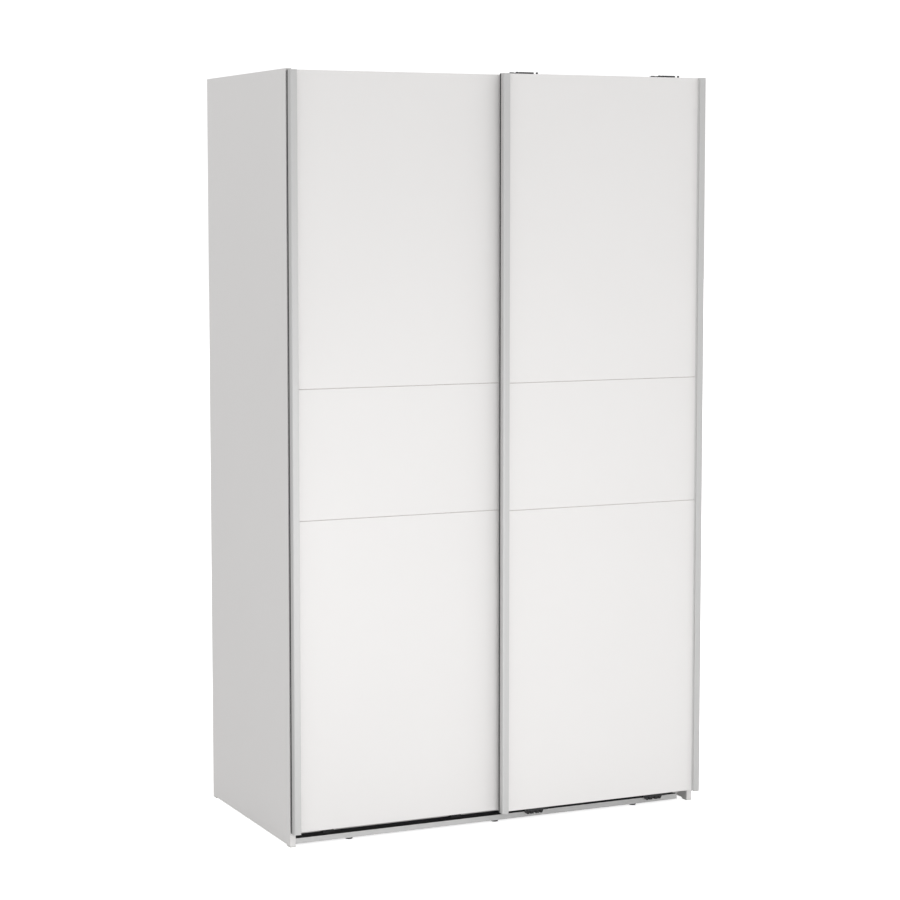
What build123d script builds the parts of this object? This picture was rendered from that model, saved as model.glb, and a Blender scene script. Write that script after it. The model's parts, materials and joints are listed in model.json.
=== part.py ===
from build123d import *
import os

# A two-door sliding wardrobe, in millimetres.
# X runs along the front, +Y goes to the back and +Z is up. The origin is on the floor, under the
# middle of the whole wardrobe. A "depth" is measured back from the front edges of the side panels.

# Carcase boards
width = 1200
height = 2000
side_depth = 600
board = 16
edge_round = 0.8
inner_half = width / 2 - board
top_recess = 50
top_panel_top = height - top_recess
top_panel_bottom = top_panel_top - board
foot_height = 6
bottom_panel_top = foot_height + board
bottom_panel_front = 50
rear_edge_depth = 590
back_thickness = 3
back_top = height - 2
rebate_width = 8
partition_front = 70
partition_play = 0.3
shelf_front = 85
shelf_back = 585
shelf_play = 1
shelf_count = 4
glide_height = 3.5
glide_length = 25
foot_radius = 10
foot_xs = (-425, 0, 425)
foot_depths = (26, 560)

# Doors: the rear one runs next to the carcase, the front one passes in front of it
door_width = 608
door_bottom = 42
rear_door_top = 1996
front_door_top = 1998
joint_heights = (852, 1190)
joint_gap = 0.6
joint_chamfer = 1.2
panel_thickness = 10
spline_thickness = 3
spline_reach = 8.7
rear_door_back = -8
pass_gap = 4
rear_door_left = -width / 2
front_door_shy_of_side = 10
front_door_left = width / 2 - front_door_shy_of_side - door_width

# Grip profile: a hollow bar that stands proud of the door panel, with a slot for the panel's edge,
# a finger hollow in its inner side and a seat for a dust strip at its outer rear corner
grip_depth = 24
grip_width = 19
grip_bottom = 40
grip_back_flange = 1.2
grip_slot_start = 8
grip_outer_round = 4.5
grip_lip_round = 1
grip_wall = 1.6
chamber_round = 2
finger_hollow_radius = 5.5
finger_hollow_out = 2.5
finger_hollow_height = 17.5
seat_width = 3
seat_depth = 8
panel_edge_gap = 0.2
strip_offset = 0.3
pile_offset = 2
strip_width = 6
rear_strip_thickness = 7
front_strip_thickness = 3.3

# Top track, with one bead for the rollers of each door
track_front = 2
track_back = 54
track_base = 2.5
track_rib = 2.4
track_upstand = 6
track_end_gap = 1
bead_radius = 2.5
bead_centre = 7.5
rear_door_lane = 12
front_door_lane = 40
stop_inner = 556
stop_half_width = 7
stop_height = 25

# Rollers and their axles
tread_radius = 11
flange_radius = 14
roller_width = 10
groove_gap = 0.3
bore_clearance = 0.05
axle_radius = 3
collar_radius = 5
axle_head = 2
roller_side_gap = 0.3
hub_radius = 5.5
rim_radius = 9.5
web_recess = 1
dimple_radius = 1.3
dimple_depth = 1
dimple_count = 5

# Hangers
hanger_offset = 213
roller_offset = 32
hanger_half_width = 44
hanger_thickness = 2.5
hanger_screw_rises = (12, 36)
plate_corner_round = 4
rear_plate_bottom = 1905
rear_plate_top = 1990
front_plate_bottom = 1915
front_plate_top = 1996
strap_half_width = 19.5
strap_shift = -12
strap_under = 2000.5
strap_bend_round = 3
strap_inner_round = 0.8
strap_lap = 6
carriage_depth = 21.5
carriage_bottom = 1962
lug_offset = 29
lug_half_width = 2.5
tab_outer = 33.5
tab_inner = 21.5
tab_top = 2005
ear_half_width = 6
ear_reach = 10
adjuster_setback = 5
rear_ear_top = 1986.5
front_ear_top = 1996
adjuster_radius = 2.5
adjuster_head_radius = 3.5
adjuster_foot = 1979
rear_adjuster_top = 1994
front_adjuster_top = 2003.5
adjuster_socket_radius = 1.6
adjuster_socket_depth = 2

# Bottom track, its ribbed fascia and the guides that run in its two slots
fascia_front = 8
fascia_thickness = 1.6
bottom_track_top = 20.5
bottom_track_base = 2
bottom_track_wall = 3
bottom_track_rib = 2
bottom_track_short_by = 27
slot_width = 6
front_slot = 14
rear_slot = 36
fascia_groove = 0.7
fascia_groove_heights = (9.5, 13.0, 16.5)
guide_offset = 184
guide_half_width = 28
guide_block_half_width = 31
guide_foot_half_width = 22
guide_block_span = (-15, 0)
guide_block_heights = (19, 37)
guide_notches = ((-15, 4), (0, 7), (15, 4))
guide_notch_height = 5
guide_groove_height = 13
guide_groove_depth = 5
guide_arm_half_width = 15
guide_plate_height = 34
guide_side_gap = 0.3
guide_screw_offset = 22
guide_screw_rise = 22
fin_bottom = 10
front_arm_heights = (33, 37)
rear_guide_bottom = 44
rear_arm_heights = (46, 54)

# Fasteners
screw_head_radius = 3.6
screw_head_depth = 2.2
screw_radius = 1.75
screw_length = 11
recess_length = 4
recess_width = 0.9
recess_depth = 1.2
track_screw_xs = (-500, -250, 0, 250, 500)
top_track_screw_depth = 26
dowel_depths = (110, 480)
cam_depths = (180, 545)
dowel_radius = 4
dowel_length = 30
dowel_in_face = 12
cam_radius = 7.5
cam_depth = 12.5
cam_setback = 24
cam_bolt_radius = 3
cam_bolt_in_face = 11
cam_slot = 1.4
cam_slot_depth = 2
pin_radius = 2.5
pin_in_wall = 7
pin_depths = (130, 540)
pin_shelf_reach = 8
pin_shelf_half_width = 4
pin_shelf_height = 8
nail_xs = (-550, -400, -250, -100, 100, 250, 400, 550)
nail_radius = 0.8
nail_length = 13
nail_head_radius = 2.5
nail_head = 1

# Clothes rail
rail_radius = 12.5
rail_wall = 1.5
rail_depth = 335
rail_drop = 60
socket_base = 3
socket_radius = 18
socket_ring_radius = 15.5
socket_ring_height = 12
socket_peg_spacing = 10
socket_clearance = 0.1

# Back joint strip
strip_flange = 12
strip_web = 1.6
strip_skin = 1.2

# Sizes worked out from the ones above
front_door_back = rear_door_back - grip_depth - pass_gap
door_reach = grip_depth - front_door_back
front_edge_y = (door_reach - side_depth) / 2
top_mid = (top_panel_bottom + top_panel_top) / 2
bottom_mid = foot_height + board / 2
bead_top = top_panel_top + bead_centre + bead_radius
axle_height = bead_top + groove_gap + tread_radius
shelf_pitch = (top_panel_bottom - bottom_panel_top + board) / (shelf_count + 1)
shelf_bottoms = [bottom_panel_top - board + shelf_pitch * (number + 1) for number in range(shelf_count)]
rail_height = shelf_bottoms[-1] - rail_drop
half_board = board / 2
bottom_track_front = fascia_front + fascia_thickness
bottom_track_right = inner_half - bottom_track_short_by
partition_back = rear_edge_depth - strip_skin - partition_play

os.makedirs("parts", exist_ok=True)


def y_at(depth):
    """Y of a plane this far behind the front edges of the side panels."""
    return front_edge_y + depth


def block(x_span, depth_span, z_span, mode=Mode.ADD):
    """A straight block between two X values, two depths and two heights."""
    x_low, x_high = sorted(x_span)
    depth_low, depth_high = sorted(depth_span)
    z_low, z_high = sorted(z_span)
    middle = ((x_low + x_high) / 2, y_at((depth_low + depth_high) / 2), (z_low + z_high) / 2)
    with Locations(middle):
        Box(x_high - x_low, depth_high - depth_low, z_high - z_low, mode=mode)


def rod(start, direction, length, radius, mode=Mode.ADD):
    """A round bar from a point, along a direction."""
    with Locations(Plane(origin=start, z_dir=direction)):
        Cylinder(radius, length, align=(Align.CENTER, Align.CENTER, Align.MIN), mode=mode)


def countersunk_screw(head_point, direction, mode=Mode.ADD):
    """A countersunk screw whose flat head ends at a point; subtracted, it is the screw's hole."""
    base = (Align.CENTER, Align.CENTER, Align.MIN)
    with Locations(Plane(origin=head_point, z_dir=direction)):
        Cone(screw_head_radius, screw_radius, screw_head_depth, align=base, mode=mode)
        Cylinder(screw_radius, screw_length, align=base, mode=mode)


def cross_recess(head_point, direction):
    """The cross in a screw's head."""
    with Locations(Plane(origin=head_point, z_dir=direction)):
        Box(recess_length, recess_width, 2 * recess_depth, mode=Mode.SUBTRACT)
        Box(recess_width, recess_length, 2 * recess_depth, mode=Mode.SUBTRACT)


def round_front_edges(board_part, axis):
    """Softens the two front edges of a board that run along an axis."""
    fillet(board_part.edges().filter_by(axis).group_by(Axis.Y)[0], edge_round)


def bar(depth_span, z_span, mode=Mode.ADD):
    """A rectangle of a track's section, between two depths and two heights."""
    depth_low, depth_high = depth_span
    z_low, z_high = z_span
    with Locations((y_at((depth_low + depth_high) / 2), (z_low + z_high) / 2)):
        Rectangle(depth_high - depth_low, z_high - z_low, mode=mode)


def save(builder, name):
    """Names the finished piece and writes its file."""
    builder.part.label = name
    export_step(builder.part, f"parts/{name}.step")


# Where the carcase's fasteners sit. Each end joint has a face point, the direction into the board
# that butts against it, and the direction in which its cams are pressed in.
side_joints = []
for side in (-1, 1):
    side_joints.append((side * inner_half, top_mid, (-side, 0, 0), (0, 0, -1), top_panel_top))
    side_joints.append((side * inner_half, bottom_mid, (-side, 0, 0), (0, 0, 1), foot_height))
partition_joints = [(top_panel_bottom, -1), (bottom_panel_top, 1)]


def along(point, direction, distance):
    """A point moved along a direction."""
    return tuple(start + step * distance for start, step in zip(point, direction))


def opposite(direction):
    """The direction turned round."""
    return tuple(-step for step in direction)


def joint_faces():
    """Every end joint's face point, without its depth, and the direction into the butting board."""
    for face_x, middle_z, inward, press_way, press_z in side_joints:
        yield (face_x, middle_z), inward
    for face_z, into in partition_joints:
        yield (0, face_z), (0, 0, into)


def face_point(place, depth):
    """The point of an end joint at one depth."""
    return (place[0], y_at(depth), place[1])


def face_holes(place, inward):
    """Holes in the board whose face a joint meets."""
    for depth in dowel_depths:
        rod(face_point(place, depth), opposite(inward), dowel_in_face, dowel_radius, Mode.SUBTRACT)
    for depth in cam_depths:
        rod(face_point(place, depth), opposite(inward), cam_bolt_in_face, cam_bolt_radius, Mode.SUBTRACT)


def end_holes(place, inward):
    """Holes in the end of the board that butts against a joint's face."""
    for depth in dowel_depths:
        rod(face_point(place, depth), inward, dowel_length - dowel_in_face, dowel_radius, Mode.SUBTRACT)
    for depth in cam_depths:
        rod(face_point(place, depth), inward, cam_setback, cam_bolt_radius, Mode.SUBTRACT)


def cam_seats():
    """The outer end and pressing direction of every cam, grouped by the board that holds it."""
    seats = {"top_panel": [], "bottom_panel": [], "centre_partition": []}
    for face_x, middle_z, inward, press_way, press_z in side_joints:
        holder = "top_panel" if middle_z == top_mid else "bottom_panel"
        for depth in cam_depths:
            seats[holder].append(((face_x + inward[0] * cam_setback, y_at(depth), press_z), press_way))
    for face_z, into in partition_joints:
        for depth in cam_depths:
            outer_end = (half_board, y_at(depth), face_z + into * cam_setback)
            seats["centre_partition"].append((outer_end, (-1, 0, 0)))
    return seats


def cam_pockets(holder):
    """Pockets for the cams of one board."""
    for outer_end, press_way in cam_seats()[holder]:
        rod(outer_end, press_way, cam_depth, cam_radius, Mode.SUBTRACT)


def shelf_pin_places():
    """Wall X, direction into the wall and shelf height for every shelf pin, and its depth."""
    places = [(-inner_half, -1, shelf_bottoms[-1]), (-half_board, 1, shelf_bottoms[-1])]
    for shelf_bottom in shelf_bottoms:
        places.append((half_board, -1, shelf_bottom))
        places.append((inner_half, 1, shelf_bottom))
    return [(x, into, z, depth) for x, into, z in places for depth in pin_depths]


def pin_holes(wall_x, into):
    """Holes for the shelf pins in one wall face."""
    for x, way, shelf_bottom, depth in shelf_pin_places():
        if x == wall_x:
            point = (wall_x, y_at(depth), shelf_bottom - pin_shelf_height / 2)
            rod(point, (into, 0, 0), pin_in_wall, pin_radius, Mode.SUBTRACT)


def socket_peg_points(wall_x):
    """Where the two pegs of a rail socket enter a wall."""
    steps = (-socket_peg_spacing, socket_peg_spacing)
    return [(wall_x, y_at(rail_depth), rail_height + step) for step in steps]


def side_panel(name, side):
    """A full-height side: rebated for the back and drilled on its inner face."""
    inner = side * inner_half
    with BuildPart() as panel:
        block((side * width / 2, inner), (0, side_depth), (glide_height, height))
        fillet(panel.edges(), edge_round)
        block((inner, inner + side * rebate_width), (rear_edge_depth, side_depth),
              (foot_height, height), Mode.SUBTRACT)
        for face_x, middle_z, inward, press_way, press_z in side_joints:
            if face_x == inner:
                face_holes((face_x, middle_z), inward)
        pin_holes(inner, side)
        if side < 0:
            for point in socket_peg_points(inner):
                rod(point, (side, 0, 0), pin_in_wall, pin_radius, Mode.SUBTRACT)
    save(panel, name)


def top_panel():
    """The top board, set below the side tops so that the track and rollers fit above it."""
    with BuildPart() as panel:
        block((-inner_half, inner_half), (0, rear_edge_depth), (top_panel_bottom, top_panel_top))
        round_front_edges(panel, Axis.X)
        for face_x, middle_z, inward, press_way, press_z in side_joints:
            if middle_z == top_mid:
                end_holes((face_x, middle_z), inward)
        face_holes((0, top_panel_bottom), (0, 0, -1))
        cam_pockets("top_panel")
        for point, way in track_screw_places("top"):
            countersunk_screw(point, way, Mode.SUBTRACT)
        nail_holes(top_mid)
    save(panel, "top_panel")


def bottom_panel():
    """The bottom board, behind the bottom track."""
    with BuildPart() as panel:
        block((-inner_half, inner_half), (bottom_panel_front, rear_edge_depth),
              (foot_height, bottom_panel_top))
        round_front_edges(panel, Axis.X)
        for face_x, middle_z, inward, press_way, press_z in side_joints:
            if middle_z == bottom_mid:
                end_holes((face_x, middle_z), inward)
        face_holes((0, bottom_panel_top), (0, 0, 1))
        cam_pockets("bottom_panel")
        for point, way in track_screw_places("bottom"):
            countersunk_screw(point, way, Mode.SUBTRACT)
        nail_holes(bottom_mid)
    save(panel, "bottom_panel")


def centre_partition():
    """The upright board that splits the inside in two."""
    with BuildPart() as panel:
        block((-half_board, half_board), (partition_front, partition_back),
              (bottom_panel_top, top_panel_bottom))
        round_front_edges(panel, Axis.Z)
        for face_z, into in partition_joints:
            end_holes((0, face_z), (0, 0, into))
        cam_pockets("centre_partition")
        pin_holes(-half_board, 1)
        pin_holes(half_board, -1)
        for point in socket_peg_points(-half_board):
            rod(point, (1, 0, 0), pin_in_wall, pin_radius, Mode.SUBTRACT)
    save(panel, "centre_partition")


def shelf(name, x_span, shelf_bottom):
    """A loose shelf that lies on four pins."""
    with BuildPart() as plate:
        block((x_span[0] + shelf_play, x_span[1] - shelf_play), (shelf_front, shelf_back),
              (shelf_bottom, shelf_bottom + board))
        fillet(plate.edges(), edge_round)
    save(plate, name)


def shelf_pins():
    """A peg in the wall with a small flat rest for the shelf, at every shelf corner."""
    with BuildPart() as pins:
        for wall_x, into, shelf_bottom, depth in shelf_pin_places():
            point = (wall_x, y_at(depth), shelf_bottom - pin_shelf_height / 2)
            rod(point, (into, 0, 0), pin_in_wall, pin_radius)
            block((wall_x, wall_x - into * pin_shelf_reach),
                  (depth - pin_shelf_half_width, depth + pin_shelf_half_width),
                  (shelf_bottom - pin_shelf_height, shelf_bottom))
    save(pins, "shelf_pins")


def cam_fasteners():
    """Cams with a cross slot, and the bolts that they pull."""
    with BuildPart() as fasteners:
        for seats in cam_seats().values():
            for outer_end, press_way in seats:
                rod(outer_end, press_way, cam_depth, cam_radius)
                across = (1, 0, 0) if press_way[0] == 0 else (0, 0, 1)
                for slot_way in (across, (0, 1, 0)):
                    slot_plane = Plane(origin=outer_end, x_dir=slot_way, z_dir=press_way)
                    with Locations(slot_plane):
                        Box(cam_radius, cam_slot, 2 * cam_slot_depth, mode=Mode.SUBTRACT)
        for place, inward in joint_faces():
            for depth in cam_depths:
                tail = along(face_point(place, depth), inward, -cam_bolt_in_face)
                rod(tail, inward, cam_bolt_in_face + cam_setback - cam_radius, cam_bolt_radius)
    save(fasteners, "cam_fasteners")


def wood_dowels():
    """Plain dowels that line up the boards."""
    with BuildPart() as dowels:
        for place, inward in joint_faces():
            for depth in dowel_depths:
                tail = along(face_point(place, depth), inward, -dowel_in_face)
                rod(tail, inward, dowel_length, dowel_radius)
    save(dowels, "wood_dowels")


def nail_holes(middle_z):
    """Holes for the row of back nails at one height."""
    for x in nail_xs:
        rod((x, y_at(rear_edge_depth + back_thickness), middle_z), (0, -1, 0), nail_length,
            nail_radius, Mode.SUBTRACT)


def back_panel(name, side):
    """Half of the thin back, held in the side rebate and the joint strip."""
    with BuildPart() as sheet:
        block((side * strip_web / 2, side * (inner_half + rebate_width)),
              (rear_edge_depth, rear_edge_depth + back_thickness), (foot_height, back_top))
        nail_holes(top_mid)
        nail_holes(bottom_mid)
    save(sheet, name)


def back_joint_strip():
    """An H-shaped strip that joins the two halves of the back."""
    back_face = rear_edge_depth + back_thickness
    with BuildPart() as strip:
        block((-strip_web / 2, strip_web / 2), (rear_edge_depth, back_face), (foot_height, back_top))
        block((-strip_flange, strip_flange), (back_face, back_face + strip_skin), (foot_height, back_top))
        block((-strip_flange, strip_flange), (rear_edge_depth - strip_skin, rear_edge_depth),
              (bottom_panel_top, top_panel_bottom))
    save(strip, "back_joint_strip")


def back_panel_nails():
    """Flat-headed nails along the top and bottom of the back."""
    with BuildPart() as nails:
        for middle_z in (top_mid, bottom_mid):
            for x in nail_xs:
                point = (x, y_at(rear_edge_depth + back_thickness), middle_z)
                rod(point, (0, -1, 0), nail_length, nail_radius)
                rod(point, (0, 1, 0), nail_head, nail_head_radius)
    save(nails, "back_panel_nails")


def clothes_rail():
    """A tube across the left half, under the hat shelf."""
    start = (-inner_half + socket_base, y_at(rail_depth), rail_height)
    length = inner_half - half_board - 2 * socket_base
    with BuildPart() as rail:
        rod(start, (1, 0, 0), length, rail_radius)
        rod(start, (1, 0, 0), length, rail_radius - rail_wall, Mode.SUBTRACT)
    save(rail, "clothes_rail")


def rail_sockets():
    """A cup at each end of the clothes rail, with two pegs in the wall."""
    with BuildPart() as sockets:
        for wall_x, into in ((-inner_half, -1), (-half_board, 1)):
            centre = (wall_x, y_at(rail_depth), rail_height)
            away = (-into, 0, 0)
            rod(centre, away, socket_base, socket_radius)
            ring_start = along(centre, away, socket_base)
            rod(ring_start, away, socket_ring_height, socket_ring_radius)
            rod(ring_start, away, socket_ring_height, rail_radius + socket_clearance, Mode.SUBTRACT)
            for point in socket_peg_points(wall_x):
                rod(point, (into, 0, 0), pin_in_wall, pin_radius)
    save(sockets, "rail_sockets")


def track_screw_places(which):
    """Head points and directions of the screws that hold one of the tracks."""
    if which == "top":
        z = top_panel_top + track_base
        return [((x, y_at(top_track_screw_depth), z), (0, 0, -1)) for x in track_screw_xs]
    depth = bottom_panel_front - bottom_track_wall
    return [((x, y_at(depth), bottom_mid), (0, 1, 0)) for x in track_screw_xs]


def top_track():
    """An extruded track with a bead for each door's rollers."""
    left = -inner_half + track_end_gap
    floor_top = top_panel_top + track_base
    bead_z = top_panel_top + bead_centre
    with BuildPart() as track:
        with BuildSketch(Plane.YZ.offset(left)):
            bar((track_front, track_back), (top_panel_top, floor_top))
            bar((track_back - track_rib, track_back), (top_panel_top, floor_top + track_upstand))
            for lane in (rear_door_lane, front_door_lane):
                bar((lane - track_rib / 2, lane + track_rib / 2), (top_panel_top, bead_z))
                with Locations((y_at(lane), bead_z)):
                    Circle(bead_radius)
        extrude(amount=-2 * left)
        for point, way in track_screw_places("top"):
            countersunk_screw(point, way, Mode.SUBTRACT)
    save(track, "top_track")


def bottom_track():
    """A channel with a slot for each door's guides."""
    heights = (foot_height, bottom_track_top)
    ribs = (front_slot + slot_width / 2, rear_slot - slot_width / 2 - bottom_track_rib,
            rear_slot + slot_width / 2)
    left = -inner_half
    with BuildPart() as track:
        with BuildSketch(Plane.YZ.offset(left)):
            bar((bottom_track_front, bottom_panel_front), (foot_height, foot_height + bottom_track_base))
            bar((bottom_track_front, front_slot - slot_width / 2), heights)
            bar((bottom_panel_front - bottom_track_wall, bottom_panel_front), heights)
            for rib_front in ribs:
                bar((rib_front, rib_front + bottom_track_rib), heights)
        extrude(amount=bottom_track_right - left)
        for point, way in track_screw_places("bottom"):
            countersunk_screw(point, way, Mode.SUBTRACT)
    save(track, "bottom_track")


def bottom_fascia():
    """The ribbed strip on the front of the bottom track."""
    left = -inner_half
    with BuildPart() as fascia:
        with BuildSketch(Plane.YZ.offset(left)):
            bar((fascia_front, bottom_track_front), (foot_height, bottom_track_top))
            for groove_z in fascia_groove_heights:
                bar((fascia_front, fascia_front + fascia_groove),
                    (groove_z - fascia_groove / 2, groove_z + fascia_groove / 2), Mode.SUBTRACT)
        extrude(amount=bottom_track_right - left)
    save(fascia, "bottom_fascia")


def track_screws():
    """The countersunk screws of both tracks."""
    with BuildPart() as screws:
        for which in ("top", "bottom"):
            for point, way in track_screw_places(which):
                countersunk_screw(point, way)
                cross_recess(point, way)
    save(screws, "track_screws")


def track_end_stops():
    """Blocks on the top track that stop the outermost rollers."""
    floor_top = top_panel_top + track_base
    with BuildPart() as stops:
        for lane in (rear_door_lane, front_door_lane):
            for side in (-1, 1):
                ends = (side * stop_inner, side * (inner_half - track_end_gap))
                block(ends, (lane - stop_half_width, lane + stop_half_width),
                      (floor_top, floor_top + stop_height))
                block(ends, (lane - bead_radius, lane + bead_radius), (floor_top, bead_top), Mode.SUBTRACT)
    save(stops, "track_end_stops")


def track_feet():
    """Round feet under the bottom track and under the back of the bottom panel."""
    with BuildPart() as feet:
        for x in foot_xs:
            for depth in foot_depths:
                rod((x, y_at(depth), 0), (0, 0, 1), foot_height, foot_radius)
    save(feet, "track_feet")


def side_glides():
    """Small pads under the front and back corners of the side panels."""
    with BuildPart() as glides:
        for side in (-1, 1):
            for start in (0, side_depth - glide_length):
                block((side * inner_half, side * width / 2), (start, start + glide_length),
                      (0, glide_height))
    save(glides, "side_glides")


def door_screw_places(left, back, hanger_bottom, guide_bottom):
    """Head points of the screws that hold a door's hangers and guides, all driven forwards."""
    plate_face = y_at(back - grip_back_flange + hanger_thickness)
    middle = left + door_width / 2
    places = []
    for side in (-1, 1):
        for step in (-roller_offset, roller_offset):
            for rise in hanger_screw_rises:
                places.append((middle + side * hanger_offset + step, plate_face, hanger_bottom + rise))
        for step in (-guide_screw_offset, guide_screw_offset):
            places.append((middle + side * guide_offset + step, plate_face, guide_bottom + guide_screw_rise))
    return places


def door_screws(door, places):
    """The countersunk screws of one door."""
    with BuildPart() as screws:
        for place in places:
            countersunk_screw(place, (0, -1, 0))
            cross_recess(place, (0, -1, 0))
    save(screws, f"{door}_screws")


def screw_holes(places):
    """The holes of a door's screws."""
    for place in places:
        countersunk_screw(place, (0, -1, 0), Mode.SUBTRACT)


def door_panels(door, left, back, top, screws):
    """The three boards of a door, with a fine bevelled joint between neighbours."""
    panel_back = back - grip_back_flange
    panel_front = panel_back - panel_thickness
    groove_middle = (panel_back + panel_front) / 2
    groove_span = (groove_middle - spline_thickness / 2, groove_middle + spline_thickness / 2)
    inset = grip_slot_start + panel_edge_gap
    x_span = (left + inset, left + door_width - inset)
    lower_joint, upper_joint = joint_heights
    spans = {"lower": (door_bottom, lower_joint), "middle": joint_heights, "upper": (upper_joint, top)}
    for place, (low, high) in spans.items():
        joined_low = low in joint_heights
        joined_high = high in joint_heights
        z_low = low + joint_gap / 2 if joined_low else low
        z_high = high - joint_gap / 2 if joined_high else high
        with BuildPart() as panel:
            block(x_span, (panel_front, panel_back), (z_low, z_high))
            rows = panel.edges().filter_by(Axis.X).group_by(Axis.Z)
            for row, joined in ((rows[0], joined_low), (rows[-1], joined_high)):
                front_edge = row.sort_by(Axis.Y)[0]
                if joined:
                    chamfer(front_edge, joint_chamfer)
                else:
                    fillet(front_edge, edge_round)
            if joined_low:
                block(x_span, groove_span, (low, low + spline_reach), Mode.SUBTRACT)
            if joined_high:
                block(x_span, groove_span, (high - spline_reach, high), Mode.SUBTRACT)
            screw_holes([point for point in screws if z_low < point[2] < z_high])
        save(panel, f"{door}_panel_{place}")


def door_splines(door, left, back):
    """Thin strips that key the three boards of a door together."""
    middle = back - grip_back_flange - panel_thickness / 2
    inset = grip_slot_start + panel_edge_gap
    with BuildPart() as splines:
        for joint in joint_heights:
            block((left + inset, left + door_width - inset),
                  (middle - spline_thickness / 2, middle + spline_thickness / 2),
                  (joint - spline_reach, joint + spline_reach))
    save(splines, f"{door}_splines")


def chamber(across_span, depth_span):
    """A rounded hollow inside a grip's section."""
    across_low, across_high = across_span
    depth_low, depth_high = depth_span
    with Locations(((across_low + across_high) / 2, (depth_low + depth_high) / 2)):
        RectangleRounded(across_high - across_low, depth_high - depth_low, chamber_round, mode=Mode.SUBTRACT)


def grip(name, edge_x, inward, back, top):
    """A hollow aluminium grip: flat front, round outer edge, finger hollow, panel slot and strip seat."""
    slot_front = grip_back_flange + panel_thickness
    rib = grip_slot_start - grip_wall
    hollow_bottom = grip_width - finger_hollow_radius + finger_hollow_out
    corner = (edge_x, y_at(back), grip_bottom)
    section_plane = Plane(origin=corner, x_dir=(inward, 0, 0), z_dir=(0, 0, -inward))
    with BuildPart() as profile:
        with BuildSketch(section_plane) as section:
            with BuildLine():
                Polyline(
                    (seat_width, 0),
                    (seat_width, seat_depth),
                    (0, seat_depth),
                    (0, grip_depth),
                    (grip_width, grip_depth),
                    (grip_width, slot_front),
                    (grip_slot_start, slot_front),
                    (grip_slot_start, grip_back_flange),
                    (grip_width, grip_back_flange),
                    (grip_width, 0),
                    close=True,
                )
            make_face()
            front_corners = section.vertices().group_by(Axis.Y)[-1].sort_by(Axis.X)
            fillet(front_corners[0], grip_outer_round)
            front_corners = section.vertices().group_by(Axis.Y)[-1].sort_by(Axis.X)
            fillet(front_corners[-1], grip_lip_round)
            with Locations((grip_width + finger_hollow_out, finger_hollow_height)):
                Circle(finger_hollow_radius, mode=Mode.SUBTRACT)
            chamber_front = grip_depth - grip_wall
            chamber((grip_wall, rib), (seat_depth + grip_wall, chamber_front))
            chamber((grip_slot_start, hollow_bottom - grip_wall), (slot_front + grip_wall, chamber_front))
        extrude(amount=top - grip_bottom, dir=(0, 0, 1))
    save(profile, name)


def dust_strip(door, left, back, top, thickness):
    """A strip seated in the corner of the door's left grip, with pile on the grip's back."""
    heights = (grip_bottom, top)
    pile_left = left + pile_offset
    with BuildPart() as strip:
        block((pile_left, pile_left + strip_width), (back, back + thickness), heights)
        block((left + strip_offset, left + seat_width), (back - seat_depth, back), heights)
    save(strip, f"{door}_dust_strip")


def adjuster_holes(hanger_x, depth, ear_top):
    """Holes for the two height screws of a hanger."""
    for step in (-roller_offset, roller_offset):
        rod((hanger_x + step, y_at(depth), ear_top), (0, 0, -1), ear_top - adjuster_foot, adjuster_radius,
            Mode.SUBTRACT)


def axle_holes(hanger_x, plate_back):
    """Holes where the two axles are riveted into a hanger."""
    for step in (-roller_offset, roller_offset):
        rod((hanger_x + step, y_at(plate_back), axle_height), (0, -1, 0), hanger_thickness, axle_radius,
            Mode.SUBTRACT)


def ears(hanger_x, plate_back, ear_top):
    """Two lugs that hold a hanger's height screws."""
    for step in (-roller_offset, roller_offset):
        x = hanger_x + step
        block((x - ear_half_width, x + ear_half_width), (plate_back, plate_back + ear_reach),
              (ear_top - hanger_thickness, ear_top))


def rear_hanger(name, hanger_x, screws):
    """A flat plate on the rear door's back, with its rollers straight behind it."""
    plate_front = rear_door_back - grip_back_flange
    plate_back = plate_front + hanger_thickness
    with BuildPart() as hanger:
        block((hanger_x - hanger_half_width, hanger_x + hanger_half_width), (plate_front, plate_back),
              (rear_plate_bottom, rear_plate_top))
        fillet(hanger.edges().filter_by(Axis.Y), plate_corner_round)
        ears(hanger_x, plate_back, rear_ear_top)
        adjuster_holes(hanger_x, plate_back + adjuster_setback, rear_ear_top)
        axle_holes(hanger_x, plate_back)
        screw_holes(screws)
    save(hanger, name)


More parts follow.
